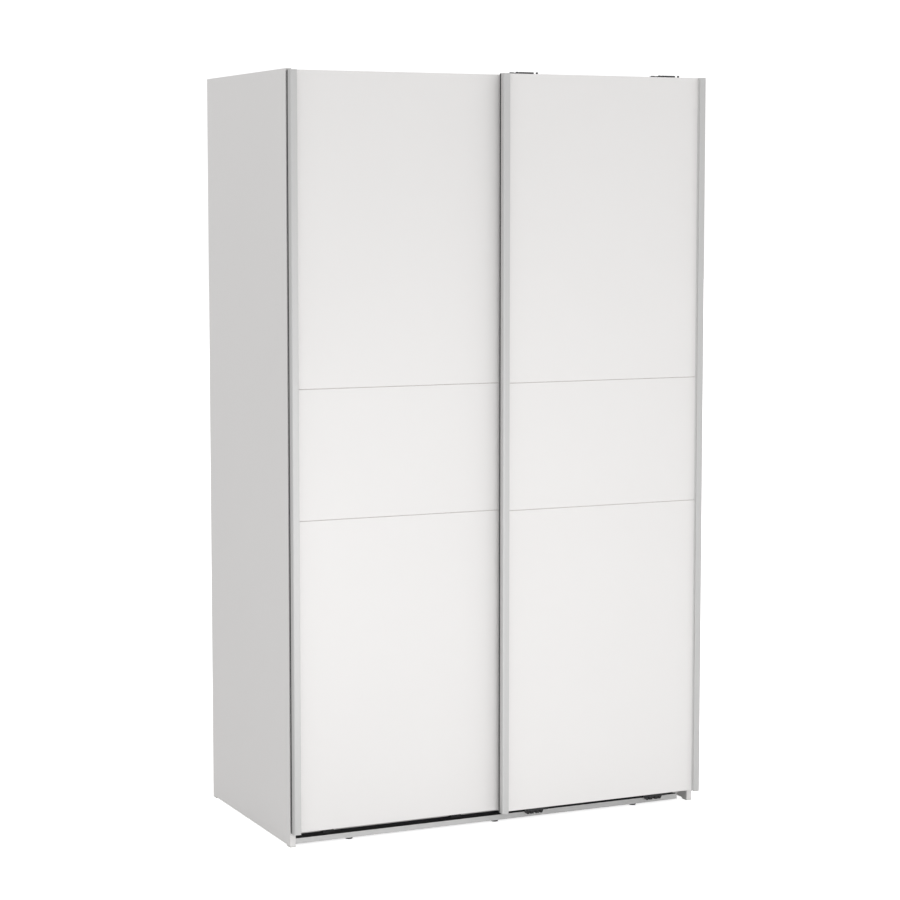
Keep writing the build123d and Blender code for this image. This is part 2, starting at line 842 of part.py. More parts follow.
def front_hanger(name, hanger_x, screws):
    """A plate on the front door's back, with a strap between two lugs, over to the carriage behind."""
    plate_front = front_door_back - grip_back_flange
    plate_back = plate_front + hanger_thickness
    carriage_back = carriage_depth + hanger_thickness
    strap_top = strap_under + hanger_thickness
    strap_x = hanger_x + strap_shift
    with BuildPart() as hanger:
        with BuildSketch(Plane.YZ.offset(strap_x - strap_half_width)) as strap:
            with BuildLine():
                Polyline(
                    (y_at(plate_front), front_plate_top - strap_lap),
                    (y_at(plate_front), strap_top),
                    (y_at(carriage_back), strap_top),
                    (y_at(carriage_back), front_plate_top - strap_lap),
                    (y_at(carriage_depth), front_plate_top - strap_lap),
                    (y_at(carriage_depth), strap_under),
                    (y_at(plate_back), strap_under),
                    (y_at(plate_back), front_plate_top - strap_lap),
                    close=True,
                )
            make_face()
            fillet(strap.vertices().group_by(Axis.Y)[-2], strap_inner_round)
            fillet(strap.vertices().group_by(Axis.Y)[-1], strap_bend_round)
        extrude(amount=2 * strap_half_width)
        block((hanger_x - hanger_half_width, hanger_x + hanger_half_width), (plate_front, plate_back),
              (front_plate_bottom, front_plate_top))
        for lug_x in (strap_x - lug_offset, strap_x + lug_offset):
            block((lug_x - lug_half_width, lug_x + lug_half_width), (plate_front, plate_back),
                  (front_plate_top, strap_top))
        block((hanger_x - hanger_half_width, hanger_x + hanger_half_width), (carriage_depth, carriage_back),
              (carriage_bottom, front_plate_top))
        block((hanger_x - tab_outer, hanger_x - tab_inner), (carriage_depth, carriage_back),
              (front_plate_top, tab_top))
        ears(hanger_x, carriage_back, front_ear_top)
        adjuster_holes(hanger_x, carriage_back + adjuster_setback, front_ear_top)
        axle_holes(hanger_x, carriage_back)
        screw_holes(screws)
    save(hanger, name)


def adjusters(door, hanger_xs, plate_back, ear_top, head_top):
    """Height screws with a round head and a hexagon socket."""
    with BuildPart() as screws:
        for hanger_x in hanger_xs:
            for step in (-roller_offset, roller_offset):
                x = hanger_x + step
                y = y_at(plate_back + adjuster_setback)
                rod((x, y, ear_top), (0, 0, -1), ear_top - adjuster_foot, adjuster_radius)
                rod((x, y, ear_top), (0, 0, 1), head_top - ear_top, adjuster_head_radius)
                with BuildSketch(Plane(origin=(x, y, head_top))):
                    RegularPolygon(adjuster_socket_radius, 6)
                extrude(amount=-adjuster_socket_depth, mode=Mode.SUBTRACT)
    save(screws, f"{door}_adjusters")


def roller_axles(door, roller_xs, plate_back, lane):
    """Shouldered axles, riveted into the hangers, with a head behind each roller."""
    near_side = lane - roller_width / 2 - roller_side_gap
    far_side = lane + roller_width / 2 + roller_side_gap
    with BuildPart() as axles:
        for x in roller_xs:
            rod((x, y_at(plate_back - hanger_thickness), axle_height), (0, 1, 0),
                far_side - plate_back + hanger_thickness, axle_radius)
            rod((x, y_at(plate_back), axle_height), (0, 1, 0), near_side - plate_back, collar_radius)
            rod((x, y_at(far_side), axle_height), (0, 1, 0), axle_head, collar_radius)
    save(axles, f"{door}_axles")


def roller(name, x, lane):
    """A grooved roller that rides on its lane's bead."""
    groove_radius = bead_radius + groove_gap
    groove_centre = tread_radius + groove_radius
    half = roller_width / 2
    bore = axle_radius + bore_clearance
    centre = (x, y_at(lane), axle_height)
    with BuildPart() as wheel:
        with BuildSketch(Plane(origin=centre, x_dir=(0, 0, 1), z_dir=(1, 0, 0))):
            with Locations(((bore + flange_radius) / 2, 0)):
                Rectangle(flange_radius - bore, roller_width)
            with Locations((groove_centre, 0)):
                Circle(groove_radius, mode=Mode.SUBTRACT)
            for side in (-1, 1):
                with Locations(((hub_radius + rim_radius) / 2, side * half)):
                    Rectangle(rim_radius - hub_radius, 2 * web_recess, mode=Mode.SUBTRACT)
        revolve(axis=Axis(centre, (0, 1, 0)))
        for side in (-1, 1):
            with Locations(Plane(origin=(x, y_at(lane + side * half), axle_height), z_dir=(0, side, 0))):
                with PolarLocations((hub_radius + rim_radius) / 2, dimple_count):
                    Cylinder(dimple_radius, 2 * (web_recess + dimple_depth), mode=Mode.SUBTRACT)
    save(wheel, name)


def guide_fin(guide_x, slot, top):
    """The fin of a guide, down into its slot of the bottom track."""
    half = slot_width / 2 - guide_side_gap
    block((guide_x - guide_arm_half_width, guide_x + guide_arm_half_width), (slot - half, slot + half),
          (fin_bottom, top))


def rear_guides(guide_xs, screws):
    """Guides on the rear door's back, with an arm back to the rear slot."""
    plate_front = rear_door_back - grip_back_flange
    plate_back = plate_front + hanger_thickness
    with BuildPart() as guides:
        for guide_x in guide_xs:
            block((guide_x - guide_half_width, guide_x + guide_half_width), (plate_front, plate_back),
                  (rear_guide_bottom, rear_guide_bottom + guide_plate_height))
            block((guide_x - guide_arm_half_width, guide_x + guide_arm_half_width),
                  (plate_front, rear_slot + slot_width / 2 - guide_side_gap), rear_arm_heights)
            guide_fin(guide_x, rear_slot, rear_arm_heights[1])
        screw_holes(screws)
    save(guides, "rear_door_guides")


def guide_block(guide_x):
    """The block under a front guide's arm: it tapers downwards and is notched and grooved into ribs."""
    block_front, block_back = guide_block_span
    low, high = guide_block_heights
    with BuildSketch(Plane.XZ.offset(-y_at(block_back))) as outline:
        with BuildLine():
            Polyline(
                (guide_x - guide_block_half_width, high),
                (guide_x + guide_block_half_width, high),
                (guide_x + guide_foot_half_width, low),
                (guide_x - guide_foot_half_width, low),
                close=True,
            )
        make_face()
    extrude(outline.sketch, amount=block_back - block_front)
    for step, wide in guide_notches:
        sides = (guide_x + step - wide / 2, guide_x + step + wide / 2)
        block(sides, guide_block_span, (low, low + guide_notch_height), Mode.SUBTRACT)
        block(sides, (block_front, block_front + guide_groove_depth), (low, low + guide_groove_height),
              Mode.SUBTRACT)


def front_guides(guide_xs, screws):
    """Guides on the front door's back, with an arm to the front slot and a ribbed block under it."""
    plate_front = front_door_back - grip_back_flange
    plate_back = plate_front + hanger_thickness
    with BuildPart() as guides:
        for guide_x in guide_xs:
            guide_block(guide_x)
            block((guide_x - guide_half_width, guide_x + guide_half_width), (plate_front, plate_back),
                  (front_arm_heights[0], door_bottom + guide_plate_height))
            block((guide_x - guide_arm_half_width, guide_x + guide_arm_half_width),
                  (plate_front, front_slot + slot_width / 2 - guide_side_gap), front_arm_heights)
            guide_fin(guide_x, front_slot, front_arm_heights[1])
        screw_holes(screws)
    save(guides, "front_door_guides")


# The carcase
for side_name, side in (("left", -1), ("right", 1)):
    side_panel(f"{side_name}_side_panel", side)
    back_panel(f"back_panel_{side_name}", side)
top_panel()
bottom_panel()
centre_partition()
shelf("hat_shelf", (-inner_half, -half_board), shelf_bottoms[-1])
for number, shelf_bottom in enumerate(shelf_bottoms, start=1):
    shelf(f"right_shelf_{number}", (half_board, inner_half), shelf_bottom)
shelf_pins()
cam_fasteners()
wood_dowels()
back_joint_strip()
back_panel_nails()
clothes_rail()
rail_sockets()
top_track()
bottom_track()
bottom_fascia()
track_screws()
track_end_stops()
track_feet()
side_glides()

# The doors and what hangs and guides them
for door, left, back, top, lane in (
    ("rear_door", rear_door_left, rear_door_back, rear_door_top, rear_door_lane),
    ("front_door", front_door_left, front_door_back, front_door_top, front_door_lane),
):
    is_rear = door == "rear_door"
    middle = left + door_width / 2
    hanger_xs = (middle - hanger_offset, middle + hanger_offset)
    guide_xs = (middle - guide_offset, middle + guide_offset)
    roller_xs = [x + step for x in hanger_xs for step in (-roller_offset, roller_offset)]
    plate_back = back - grip_back_flange + hanger_thickness if is_rear else carriage_depth + hanger_thickness
    screws = door_screw_places(left, back, rear_plate_bottom if is_rear else front_plate_bottom,
                               rear_guide_bottom if is_rear else door_bottom)
    door_panels(door, left, back, top, screws)
    door_splines(door, left, back)
    door_screws(door, screws)
    grip(f"{door}_grip_left", left, 1, back, top)
    grip(f"{door}_grip_right", left + door_width, -1, back, top)
    dust_strip(door, left, back, top, rear_strip_thickness if is_rear else front_strip_thickness)
    make_hanger = rear_hanger if is_rear else front_hanger
    for side_name, hanger_x in zip(("left", "right"), hanger_xs):
        make_hanger(f"{door}_hanger_{side_name}", hanger_x, screws)
    adjusters(door, hanger_xs, plate_back, rear_ear_top if is_rear else front_ear_top,
              rear_adjuster_top if is_rear else front_adjuster_top)
    roller_axles(door, roller_xs, plate_back, lane)
    for number, x in enumerate(roller_xs, start=1):
        roller(f"{door}_roller_{number}", x, lane)
    make_guides = rear_guides if is_rear else front_guides
    make_guides(guide_xs, screws)
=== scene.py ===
# %% [markdown]
# This lesson dresses a sliding door wardrobe for a studio picture. The frame already holds every
# board, track, roller and screw at its real size and place. What is left to Blender is what a camera
# sees besides shape: the finish of each material, the soft pile of the dust strips, and the studio
# itself. One unit is one metre.

# %% Load the frame
import json
import math
import random

import bmesh
import bpy
from mathutils import Matrix, Vector


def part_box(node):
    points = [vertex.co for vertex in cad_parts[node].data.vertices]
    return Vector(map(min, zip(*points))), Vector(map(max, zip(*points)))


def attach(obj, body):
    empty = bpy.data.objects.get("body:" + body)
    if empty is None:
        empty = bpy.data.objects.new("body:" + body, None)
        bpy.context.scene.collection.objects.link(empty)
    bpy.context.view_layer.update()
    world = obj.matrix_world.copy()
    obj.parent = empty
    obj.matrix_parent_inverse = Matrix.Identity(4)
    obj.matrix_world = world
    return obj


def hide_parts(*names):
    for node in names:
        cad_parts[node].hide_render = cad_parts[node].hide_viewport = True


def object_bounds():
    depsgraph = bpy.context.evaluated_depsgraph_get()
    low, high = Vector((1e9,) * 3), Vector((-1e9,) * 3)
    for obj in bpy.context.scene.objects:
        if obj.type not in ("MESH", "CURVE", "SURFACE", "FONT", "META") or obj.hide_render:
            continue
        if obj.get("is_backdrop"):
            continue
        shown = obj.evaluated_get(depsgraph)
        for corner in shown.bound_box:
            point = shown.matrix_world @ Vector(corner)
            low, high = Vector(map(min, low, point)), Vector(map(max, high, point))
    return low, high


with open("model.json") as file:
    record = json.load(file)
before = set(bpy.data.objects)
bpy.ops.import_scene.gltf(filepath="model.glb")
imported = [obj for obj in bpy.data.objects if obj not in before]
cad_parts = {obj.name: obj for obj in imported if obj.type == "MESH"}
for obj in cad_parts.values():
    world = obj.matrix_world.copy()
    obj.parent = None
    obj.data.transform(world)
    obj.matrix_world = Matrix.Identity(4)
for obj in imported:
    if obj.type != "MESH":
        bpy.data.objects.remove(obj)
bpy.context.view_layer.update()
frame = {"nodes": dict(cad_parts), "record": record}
nodes = frame["nodes"]

# %% [markdown]
# Every finish below is a node tree. The trees could be drawn by hand in the shader editor, but a
# script can be run again and read as text. They share a few small jobs: add a node, set its sockets,
# turn a mask into a colour or a roughness. Writing each job once keeps the materials short enough to
# read as a recipe.

# %% Helpers for node trees
# The Mix node repeats its socket names for every kind of data, so its colour sockets go by number
MIX_FIRST, MIX_SECOND, MIX_RESULT = 6, 7, 2


def add_node(tree, kind, inputs=None, **settings):
    """A node of one kind, with its settings and the start values of its sockets."""
    node = tree.nodes.new(kind)
    for name, value in settings.items():
        setattr(node, name, value)
    for name, value in (inputs or {}).items():
        node.inputs[name].default_value = value
    return node


def between(tree, mask, low, high):
    """A value that goes from low to high as a mask goes from 0 to 1."""
    spread = add_node(tree, "ShaderNodeMapRange", {"To Min": low, "To Max": high})
    tree.links.new(mask, spread.inputs["Value"])
    return spread.outputs["Result"]


def blend_colours(tree, mask, first, second):
    """A colour that goes from the first to the second as a mask goes from 0 to 1."""
    mix = add_node(tree, "ShaderNodeMix", data_type="RGBA")
    tree.links.new(mask, mix.inputs["Factor"])
    for socket, colour in ((mix.inputs[MIX_FIRST], first), (mix.inputs[MIX_SECOND], second)):
        if isinstance(colour, bpy.types.NodeSocket):
            tree.links.new(colour, socket)
        else:
            socket.default_value = (*colour, 1)
    return mix.outputs[MIX_RESULT]


print("node helpers ready")

# %% [markdown]
# A smooth surface is never quite even: a press plate leaves a pearl on board, a mould leaves a grain
# on plastic, and colour drifts slowly over a large face. Pictures of grain would need a UV map on every
# piece, and would repeat. One node group of noise makes both a fine grain and a slow cloud from Object
# coordinates instead, so a size given in metres is true on every piece.

# %% Group: fine grain
USUAL_GRAIN, USUAL_CLOUD = 0.001, 0.5
GRAIN_NOISE = {"Detail": 2.0, "Roughness": 0.6}


def new_group(name, inputs, outputs):
    """An empty shader node group with named sockets, and its two end nodes."""
    group = bpy.data.node_groups.new(name, "ShaderNodeTree")
    for socket_name, kind, start in inputs:
        socket = group.interface.new_socket(socket_name, in_out="INPUT", socket_type=kind)
        socket.default_value = start
    for socket_name in outputs:
        group.interface.new_socket(socket_name, in_out="OUTPUT", socket_type="NodeSocketFloat")
    return group, group.nodes.new("NodeGroupInput"), group.nodes.new("NodeGroupOutput")


def make_fine_grain():
    """Grain and cloud masks whose sizes are given in metres."""
    sizes = (
        ("Grain size", "NodeSocketFloat", USUAL_GRAIN),
        ("Cloud size", "NodeSocketFloat", USUAL_CLOUD),
    )
    masks = ("Grain", "Cloud")
    group, start, end = new_group("fine_grain", sizes, masks)
    place = add_node(group, "ShaderNodeTexCoord")
    for (size_name, _, _), mask_name in zip(sizes, masks):
        per_metre = add_node(group, "ShaderNodeMath", {0: 1.0}, operation="DIVIDE")
        noise = add_node(group, "ShaderNodeTexNoise", GRAIN_NOISE)
        group.links.new(start.outputs[size_name], per_metre.inputs[1])
        group.links.new(per_metre.outputs["Value"], noise.inputs["Scale"])
        group.links.new(place.outputs["Object"], noise.inputs["Vector"])
        group.links.new(noise.outputs["Fac"], end.inputs[mask_name])
    return group


fine_grain = make_fine_grain()
print("group", fine_grain.name, [item.name for item in fine_grain.interface.items_tree])

# %% [markdown]
# Metal that is pushed through a die or drawn to a tube keeps fine lines along its length. They are too
# many to model, and a wave texture would space them too evenly. Noise makes them if the coordinates
# are divided by a long size along the piece and tiny sizes across it.

# %% Group: drawn lines
USUAL_LINES = (0.001, 0.001, 0.4)
LINE_NOISE = {"Scale": 1.0, "Detail": 3.0, "Roughness": 0.55}


def make_drawn_lines():
    """A mask of fine lines; the size along the piece is much longer than the sizes across it."""
    sizes = (("Line size", "NodeSocketVector", USUAL_LINES),)
    group, start, end = new_group("drawn_lines", sizes, ("Lines",))
    place = add_node(group, "ShaderNodeTexCoord")
    shrink = add_node(group, "ShaderNodeVectorMath", operation="DIVIDE")
    noise = add_node(group, "ShaderNodeTexNoise", LINE_NOISE)
    group.links.new(place.outputs["Object"], shrink.inputs[0])
    group.links.new(start.outputs["Line size"], shrink.inputs[1])
    group.links.new(shrink.outputs["Vector"], noise.inputs["Vector"])
    group.links.new(noise.outputs["Fac"], end.inputs["Lines"])
    return group


drawn_lines = make_drawn_lines()
print("group", drawn_lines.name, [item.name for item in drawn_lines.interface.items_tree])

# %% [markdown]
# The tops of a wardrobe gather a little dust even in a studio. It could be painted on each shelf by
# hand, but one rule serves all pieces: the group looks at which way a face points, keeps what faces
# up, and breaks it into soft patches, so shelves and tracks are not quite as clean as upright faces.

# %% Group: settled dust
USUAL_PATCH, USUAL_AMOUNT = 0.12, 0.2
# How far up a face points: no dust stays on it below the first value, and most of it at the second
TOO_STEEP, LEVEL_FACE = 0.6, 1.0
PATCH_NOISE = {"Detail": 4.0, "Roughness": 0.7}


def make_settled_dust():
    """A soft patchy mask on faces that point upwards."""
    settings = (
        ("Patch size", "NodeSocketFloat", USUAL_PATCH),
        ("Amount", "NodeSocketFloat", USUAL_AMOUNT),
    )
    group, start, end = new_group("settled_dust", settings, ("Dust",))
    place = add_node(group, "ShaderNodeTexCoord")
    facing = add_node(group, "ShaderNodeSeparateXYZ")
    upwards = add_node(group, "ShaderNodeMapRange", {"From Min": TOO_STEEP, "From Max": LEVEL_FACE})
    per_metre = add_node(group, "ShaderNodeMath", {0: 1.0}, operation="DIVIDE")
    patches = add_node(group, "ShaderNodeTexNoise", PATCH_NOISE)
    patchy = add_node(group, "ShaderNodeMath", operation="MULTIPLY")
    thin = add_node(group, "ShaderNodeMath", operation="MULTIPLY")
    group.links.new(place.outputs["Normal"], facing.inputs["Vector"])
    group.links.new(facing.outputs["Z"], upwards.inputs["Value"])
    group.links.new(start.outputs["Patch size"], per_metre.inputs[1])
    group.links.new(per_metre.outputs["Value"], patches.inputs["Scale"])
    group.links.new(place.outputs["Object"], patches.inputs["Vector"])
    group.links.new(upwards.outputs["Result"], patchy.inputs[0])
    group.links.new(patches.outputs["Fac"], patchy.inputs[1])
    group.links.new(patchy.outputs["Value"], thin.inputs[0])
    group.links.new(start.outputs["Amount"], thin.inputs[1])
    group.links.new(thin.outputs["Value"], end.inputs["Dust"])
    return group


settled_dust = make_settled_dust()
print("group", settled_dust.name, [item.name for item in settled_dust.interface.items_tree])

# %% [markdown]
# A material starts as a Principled shader with its even values set on its own sockets. The groups
# are then placed beside it and feed only what really changes over the surface: colour, roughness and
# a bump of a fraction of a millimetre.

# %% Helpers for materials
DUST_COLOUR = (0.55, 0.53, 0.5)


def start_material(name, **sockets):
    """A new material, its tree and its Principled shader with even values set."""
    material = bpy.data.materials.new(name)
    material.use_nodes = True
    shader = material.node_tree.nodes["Principled BSDF"]
    for socket_name, value in sockets.items():
        shader.inputs[socket_name.replace("_", " ").title()].default_value = value
    return material, material.node_tree, shader


def place_group(tree, group, values):
    """A node group placed in a material with this material's own values."""
    node = add_node(tree, "ShaderNodeGroup", node_tree=group)
    for name, value in values.items():
        node.inputs[name].default_value = value
    return node.outputs


def colour_with_dust(tree, shader, colour, amount):
    """Feeds a colour to the shader with a thin veil of dust on upward faces."""
    dust = place_group(tree, settled_dust, {"Amount": amount})
    dusty = blend_colours(tree, dust["Dust"], colour, DUST_COLOUR)
    tree.links.new(dusty, shader.inputs["Base Color"])


def bump(tree, shader, height, depth):
    """Raises a mask into a bump of a given depth in metres."""
    node = add_node(tree, "ShaderNodeBump", {"Distance": depth, "Strength": 1.0})
    tree.links.new(height, node.inputs["Height"])
    tree.links.new(node.outputs["Normal"], shader.inputs["Normal"])


def grained(name, light, dark, roughness, grain_size, grain_depth, cloud_size, dust, **sockets):
    """A material with two close colours that drift, a rougher and a smoother grain, and some dust."""
    material, tree, shader = start_material(name, **sockets)
    grain = place_group(tree, fine_grain, {"Grain size": grain_size, "Cloud size": cloud_size})
    colour_with_dust(tree, shader, blend_colours(tree, grain["Cloud"], dark, light), dust)
    tree.links.new(between(tree, grain["Grain"], *roughness), shader.inputs["Roughness"])
    bump(tree, shader, grain["Grain"], grain_depth)
    return material


print("material helpers ready")

# %% [markdown]
# Most of the wardrobe is chipboard faced with white melamine. It is a satin white, almost even, with
# the pearl of the steel plate that pressed it. One flat colour would do from far away, but close up
# it looks like a computer's white, so two close whites drift over the boards and a shallow grain
# breaks the shine. A pure white would leave no room for highlights, so the colour stays a little
# under what the studio's white floor shows.

# %% White board
white_board = grained(
    "white_board",
    light=(0.8, 0.787, 0.779), dark=(0.777, 0.764, 0.756), roughness=(0.36, 0.48),
    grain_size=0.0011, grain_depth=0.00002, cloud_size=0.6, dust=0.12,
)
print("made", white_board.name)

# %% [markdown]
# Moulded plastics differ only in colour and grain, so one recipe with other values makes them all.
# The black bottom track, guides, stops and feet have the fine spark grain of a mould, white sockets
# and pins are smoother, and the rollers are turned nylon, which lets a little light in. That needs
# subsurface scattering, and the other two are too dense to show it. The bottom track's black is also
# painted shade: it stands in for the shade deep in its channel under the doors.

# %% Plastics
# On the bottom track this black is also painted shade for the deep channel under the doors
black_plastic = grained(
    "black_plastic",
    light=(0.026, 0.026, 0.028), dark=(0.018, 0.018, 0.019), roughness=(0.38, 0.62),
    grain_size=0.0007, grain_depth=0.00004, cloud_size=0.03, dust=0.1,
)
white_plastic = grained(
    "white_plastic",
    light=(0.77, 0.77, 0.75), dark=(0.74, 0.74, 0.72), roughness=(0.3, 0.4),
    grain_size=0.0009, grain_depth=0.00001, cloud_size=0.05, dust=0.08,
)
nylon = grained(
    "nylon",
    light=(0.72, 0.71, 0.67), dark=(0.66, 0.65, 0.6), roughness=(0.36, 0.5),
    grain_size=0.0006, grain_depth=0.00001, cloud_size=0.02, dust=0.05,
    subsurface_weight=0.15, subsurface_scale=0.002,
)
print("made", black_plastic.name, white_plastic.name, nylon.name)

# %% [markdown]
# The hangers are folded sheet steel with a black powder coat, which dries to a slight orange peel.
# The coat hides the metal, so its shader is not metallic. The cams are die-cast zinc with a dull
# frosted skin, and screws, nails, axles and height screws are steel with a bright zinc plate. Those
# show bare metal, and the same recipe serves them with the metallic value at one.

# %% Coated and plated metals
black_steel = grained(
    "black_steel",
    light=(0.024, 0.024, 0.026), dark=(0.017, 0.017, 0.018), roughness=(0.32, 0.5),
    grain_size=0.0016, grain_depth=0.00005, cloud_size=0.04, dust=0.12,
)
zinc_cast = grained(
    "zinc_cast",
    light=(0.57, 0.58, 0.6), dark=(0.45, 0.46, 0.48), roughness=(0.4, 0.6),
    grain_size=0.0008, grain_depth=0.00003, cloud_size=0.008, dust=0.02, metallic=1.0,
)
zinc_steel = grained(
    "zinc_steel",
    light=(0.66, 0.66, 0.66), dark=(0.56, 0.57, 0.6), roughness=(0.22, 0.38),
    grain_size=0.0005, grain_depth=0.00001, cloud_size=0.006, dust=0.03, metallic=1.0,
)
print("made", black_steel.name, zinc_cast.name, zinc_steel.name)

# %% [markdown]
# The grips, the top track and the fascia are extruded aluminium with a matt anodised skin. The
# skin scatters so much light that the bars look grey rather than mirror-like. A fully metallic
# shader would mirror the white studio, so this one is only partly metallic and quite rough. The die
# lines run along each bar: upright on the grips, sideways on the others. The clothes rail is the
# same recipe with a chrome plate, which is far smoother.

# %% Extruded and drawn metals
UPRIGHT_LINES = (0.0009, 0.0009, 0.5)
SIDEWAYS_LINES = (0.5, 0.0009, 0.0009)
METAL_DUST = 0.06
ANODISED = {"roughness": (0.45, 0.58), "line_depth": 0.00001, "metallic": 0.35}
CHROMED = {"roughness": (0.08, 0.14), "line_depth": 0.000002, "metallic": 1.0}


def drawn_metal(name, light, dark, line_size, roughness, line_depth, metallic):
    """Metal with fine lines along its length."""
    material, tree, shader = start_material(name, metallic=metallic)
    lines = place_group(tree, drawn_lines, {"Line size": line_size})
    colour_with_dust(tree, shader, blend_colours(tree, lines["Lines"], dark, light), METAL_DUST)
    tree.links.new(between(tree, lines["Lines"], *roughness), shader.inputs["Roughness"])
    bump(tree, shader, lines["Lines"], line_depth)
    return material


upright_aluminium = drawn_metal(
    "upright_aluminium",
    light=(0.6, 0.598, 0.594), dark=(0.55, 0.548, 0.544), line_size=UPRIGHT_LINES, **ANODISED,
)
sideways_aluminium = drawn_metal(
    "sideways_aluminium",
    light=(0.7, 0.698, 0.694), dark=(0.66, 0.658, 0.654), line_size=SIDEWAYS_LINES, **ANODISED,
)
chrome_tube = drawn_metal(
    "chrome_tube",
    light=(0.78, 0.78, 0.8), dark=(0.74, 0.74, 0.76), line_size=SIDEWAYS_LINES, **CHROMED,
)
print("made", upright_aluminium.name, sideways_aluminium.name, chrome_tube.name)

# %% [markdown]
# Wood fibre shows in three hidden or half hidden places: the raw face of the back panels, the
# hardboard splines between the door boards, and the beech dowels. Hardboard is a brown felt of short
# fibres. The back panels are lacquered white on the inside only. Two materials on one piece would
# need its faces sorted by hand, so one material asks which way a face points and stays raw where it
# looks backwards.

# %% Wood fibre
HARDBOARD, HARDBOARD_DARK = (0.36, 0.235, 0.14), (0.25, 0.155, 0.085)
hardboard = grained(
    "hardboard",
    light=HARDBOARD, dark=HARDBOARD_DARK, roughness=(0.7, 0.9),
    grain_size=0.0014, grain_depth=0.00008, cloud_size=0.02, dust=0.1,
)
beech = grained(
    "beech",
    light=(0.62, 0.44, 0.27), dark=(0.5, 0.33, 0.19), roughness=(0.55, 0.75),
    grain_size=0.0012, grain_depth=0.00005, cloud_size=0.01, dust=0.02,
)

BACK_GRAIN = {"Grain size": 0.0016, "Cloud size": 0.08}
BACK_GRAIN_DEPTH = 0.00005
FIBRE_SIZE = (0.006, 0.004, 0.012)
LACQUER = (0.74, 0.74, 0.73)
LACQUER_ROUGHNESS, RAW_ROUGHNESS = 0.45, 0.82
HALF_TURNED = 0.5


def make_white_back():
    """White lacquer towards the inside, raw hardboard towards the wall."""
    material, tree, shader = start_material("white_back")
    grain = place_group(tree, fine_grain, BACK_GRAIN)
    fibres = place_group(tree, drawn_lines, {"Line size": FIBRE_SIZE})
    raw = blend_colours(tree, grain["Cloud"], HARDBOARD_DARK, HARDBOARD)
    raw = blend_colours(tree, fibres["Lines"], raw, HARDBOARD)
    place = add_node(tree, "ShaderNodeTexCoord")
    facing = add_node(tree, "ShaderNodeSeparateXYZ")
    backwards = add_node(tree, "ShaderNodeMath", {1: HALF_TURNED}, operation="GREATER_THAN")
    tree.links.new(place.outputs["Normal"], facing.inputs["Vector"])
    tree.links.new(facing.outputs["Y"], backwards.inputs[0])
    colour = blend_colours(tree, backwards.outputs["Value"], LACQUER, raw)
    roughness = between(tree, backwards.outputs["Value"], LACQUER_ROUGHNESS, RAW_ROUGHNESS)
    tree.links.new(colour, shader.inputs["Base Color"])
    tree.links.new(roughness, shader.inputs["Roughness"])
    bump(tree, shader, grain["Grain"], BACK_GRAIN_DEPTH)
    return material


white_back = make_white_back()
print("made", hardboard.name, beech.name, white_back.name)

# %% [markdown]
# A strip of dark pile on the back of each door's left grip keeps dust out and stops the doors from
# knocking. Its fibres are matt and nearly black, with a faint sheen at the tips. The near black is
# also painted shade: the strip fills the gap beside the grip, and its dark colour stands in for the
# shade in that gap. Single fibres are too thin to model, so the drawn lines stand for them: they
# point out of the strip as the fibres do and give both the colour and the bump.

# %% Pile
PILE_FIBRE = (0.0005, 0.006, 0.0005)
# Near black: the pile's own colour, and also painted shade for the gap beside each grip
PILE_AND_SHADE_DARK, PILE_AND_SHADE_LIGHT = (0.012, 0.012, 0.013), (0.04, 0.04, 0.042)
PILE_ROUGHNESS = (0.8, 1.0)
PILE_BUMP = 0.0003


def make_pile_with_painted_shade():
    """Dark matt fibres pointing out of the strip; their near black is also painted shade."""
    material, tree, shader = start_material("pile", sheen_weight=0.1, sheen_roughness=0.5)
    fibres = place_group(tree, drawn_lines, {"Line size": PILE_FIBRE})
    colour = blend_colours(tree, fibres["Lines"], PILE_AND_SHADE_DARK, PILE_AND_SHADE_LIGHT)
    tree.links.new(colour, shader.inputs["Base Color"])
    tree.links.new(between(tree, fibres["Lines"], *PILE_ROUGHNESS), shader.inputs["Roughness"])
    bump(tree, shader, fibres["Lines"], PILE_BUMP)
    return material


pile = make_pile_with_painted_shade()
print("made", pile.name)

# %% [markdown]
# The record says which finish each node takes. A loop gives the frame's own objects their new
# materials. The grips and tracks share one finish in the record, but their lines run in different
# directions, so the name decides between the two.

# %% Give every node its finish
finishes = {
    "white_board": white_board, "white_back": white_back, "black_steel": black_steel,
    "zinc_steel": zinc_steel, "zinc_cast": zinc_cast, "black_plastic": black_plastic,
    "white_plastic": white_plastic, "nylon": nylon, "pile": pile, "hardboard": hardboard,
    "beech": beech, "chrome_tube": chrome_tube, "aluminium": sideways_aluminium,
}


def dress(piece, material):
    """Puts one material in every slot of a piece."""
    if not piece.material_slots:
        piece.data.materials.append(material)
    for holder in piece.material_slots:
        holder.material = material


for subpart in frame["record"]["subparts"]:
    finish = finishes[subpart["material_slot"]]
    if "grip" in subpart["node"]:
        finish = upright_aluminium
    dress(nodes[subpart["node"]], finish)

# %% [markdown]
# In the frame each dust strip is a plain bar with a stepped section. The real one has a carrier that
# snaps into the corner of the grip, and a woven backing with rows of short tufts that point away from
# the door. Hair particles would not leave Blender with the model, so the tufts are small tapered
# cones. One stretch of them gets random leans and lengths, and copies of it fill the strip.

# %% Tufts of the dust strips
TUFTS_ACROSS = 4
ROWS_PER_STRETCH = 14
ROW_PITCH = 0.0015
TUFT_SIDES = 4
TUFT_BASE, TUFT_TIP = 0.00065, 0.0003
TUFT_SHORTEST = 0.82
TUFT_LEAN = math.radians(4)
POINTING_BACK = math.radians(-90)
MM_PER_METRE = 1000


def add_tuft(mesh, foot, length, leans):
    """A tapered cone that stands on a point of the backing and leans a little."""
    turn = Matrix.Rotation(POINTING_BACK + leans[0], 4, "X") @ Matrix.Rotation(leans[1], 4, "Y")
    middle = turn @ Vector((0, 0, length / 2))
    bmesh.ops.create_cone(mesh, cap_ends=True, segments=TUFT_SIDES, radius1=TUFT_BASE,
                          radius2=TUFT_TIP, depth=length,
                          matrix=Matrix.Translation(foot + middle) @ turn)


